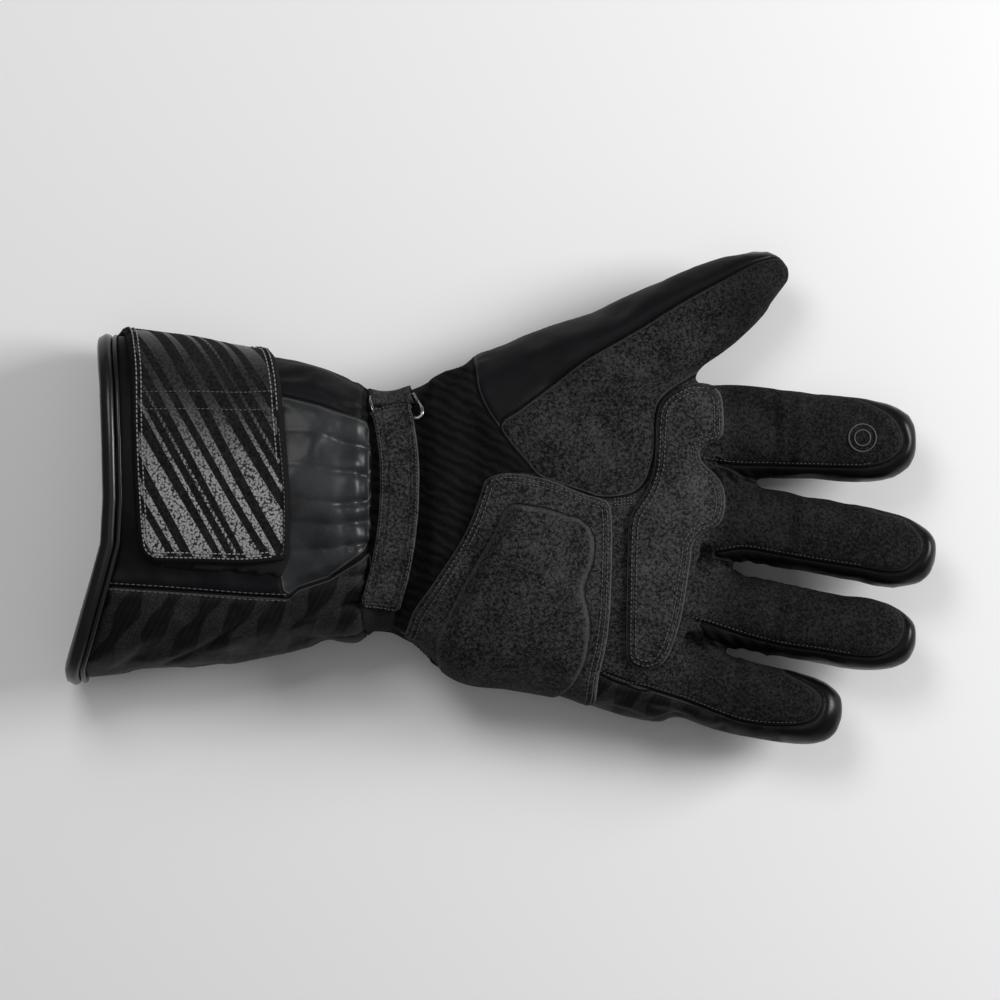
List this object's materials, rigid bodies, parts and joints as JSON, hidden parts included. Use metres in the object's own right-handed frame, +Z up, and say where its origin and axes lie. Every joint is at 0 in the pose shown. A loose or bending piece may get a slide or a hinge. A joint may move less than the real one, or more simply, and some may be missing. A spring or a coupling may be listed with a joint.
{
  "type": "heated glove",
  "caption": "Padded black winter gauntlet glove for the left hand, palm up, with a wide closure flap, a wrist strap and a raised heel pad.",
  "frame": {"origin": "middle of the footprint, on the surface that the back of the glove rests on", "axes": "+X from the cuff's mouth to the fingertips, +Y to the thumb side, +Z up out of the palm"},
  "size_m": [0.3304, 0.186, 0.0654],
  "materials": {
    "suede": "matte synthetic suede with a fine speckled grain",
    "softshell": "smooth softshell cloth with a faint satin sheen",
    "printed": "woven cloth with subtle broad diagonal bands",
    "binding": "smooth glossy rolled binding",
    "fuzzy": "fuzzy hook-and-loop fastener",
    "grained": "black flap with glossy grained rubber stripes",
    "metal": "thin bright wire"
  },
  "bodies": {
    "root": {"cuff_panel": "softshell", "cuff_gusset": "printed", "cuff_binding": "binding", "flap_fastener": "fuzzy", "closure_flap": "grained", "wrist_section": "softshell", "strap_patch": "fuzzy", "wrist_strap": "suede", "strap_webbing": "suede", "strap_loop": "metal", "hand_palm": "suede", "hand_back": "softshell", "thumb_palm": "suede", "thumb_back": "softshell", "heel_patch": "suede", "heel_pad": "suede", "grip_patch": "suede", "index_palm": "suede", "index_back": "softshell", "middle_palm": "suede", "middle_back": "softshell", "ring_palm": "suede", "ring_back": "softshell", "little_palm": "suede", "little_back": "softshell"}
  },
  "joints": []
}
